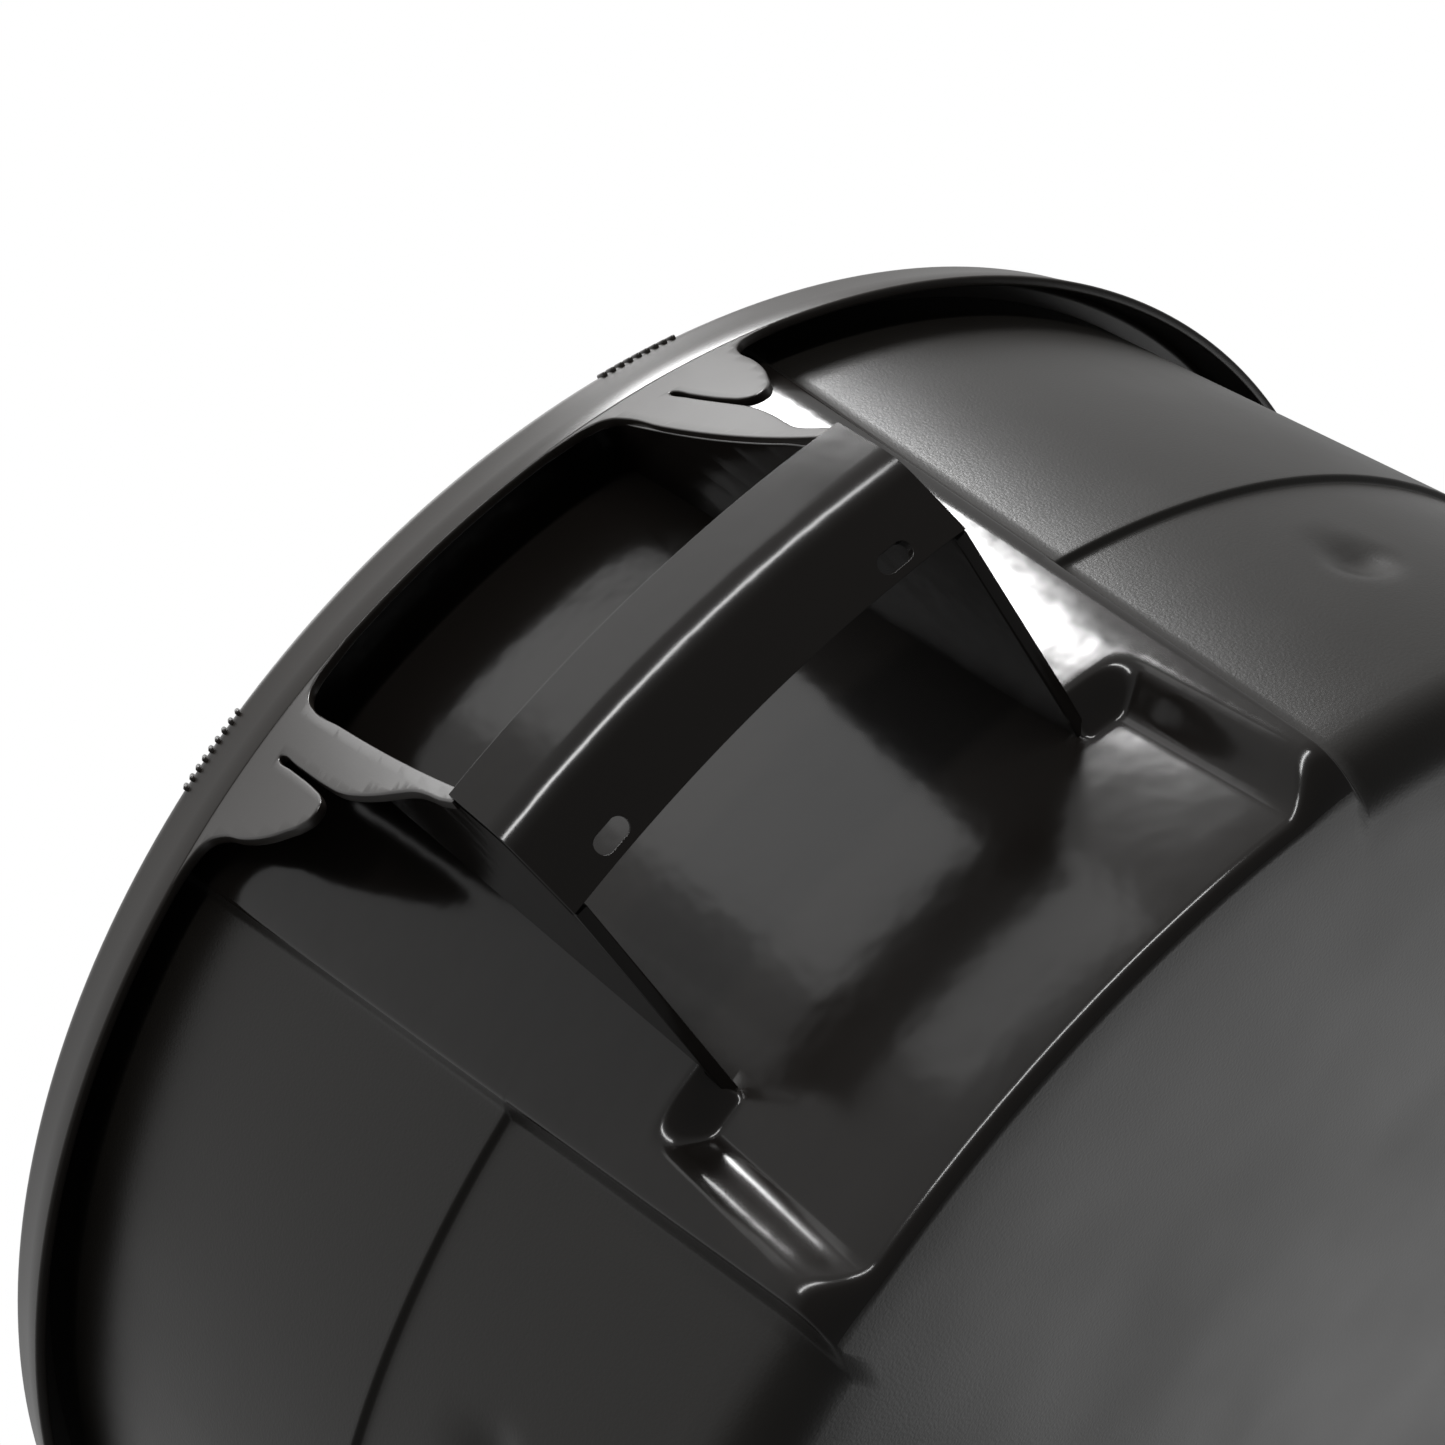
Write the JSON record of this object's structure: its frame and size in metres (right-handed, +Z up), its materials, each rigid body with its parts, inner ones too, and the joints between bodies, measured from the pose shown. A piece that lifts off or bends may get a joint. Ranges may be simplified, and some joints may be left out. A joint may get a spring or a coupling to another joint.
{
  "type": "mortar mixing tub",
  "caption": "Round black plastic tub with a down-turned rim, moulded carrying handles and tipping notches, for mixing and carrying mortar.",
  "frame": {"origin": "centre of the underside of the base, on the ground", "axes": "+Z up along the tub's axis, +X through the front handle, +Y to the side"},
  "size_m": [0.824, 0.69, 0.305],
  "materials": {
    "grained_black_hdpe": "fine moulded grain",
    "satin_black_hdpe": "satin",
    "polished_black_hdpe": "polished mould face"
  },
  "bodies": {
    "root": {"tub_shell": "grained_black_hdpe", "rim_skirt": "satin_black_hdpe", "front_grip": "polished_black_hdpe", "front_arm_left": "satin_black_hdpe", "front_web_left": "satin_black_hdpe", "front_arm_right": "satin_black_hdpe", "front_web_right": "satin_black_hdpe", "rear_grip": "polished_black_hdpe", "rear_arm_left": "satin_black_hdpe", "rear_web_left": "satin_black_hdpe", "rear_arm_right": "satin_black_hdpe", "rear_web_right": "satin_black_hdpe"}
  },
  "joints": []
}
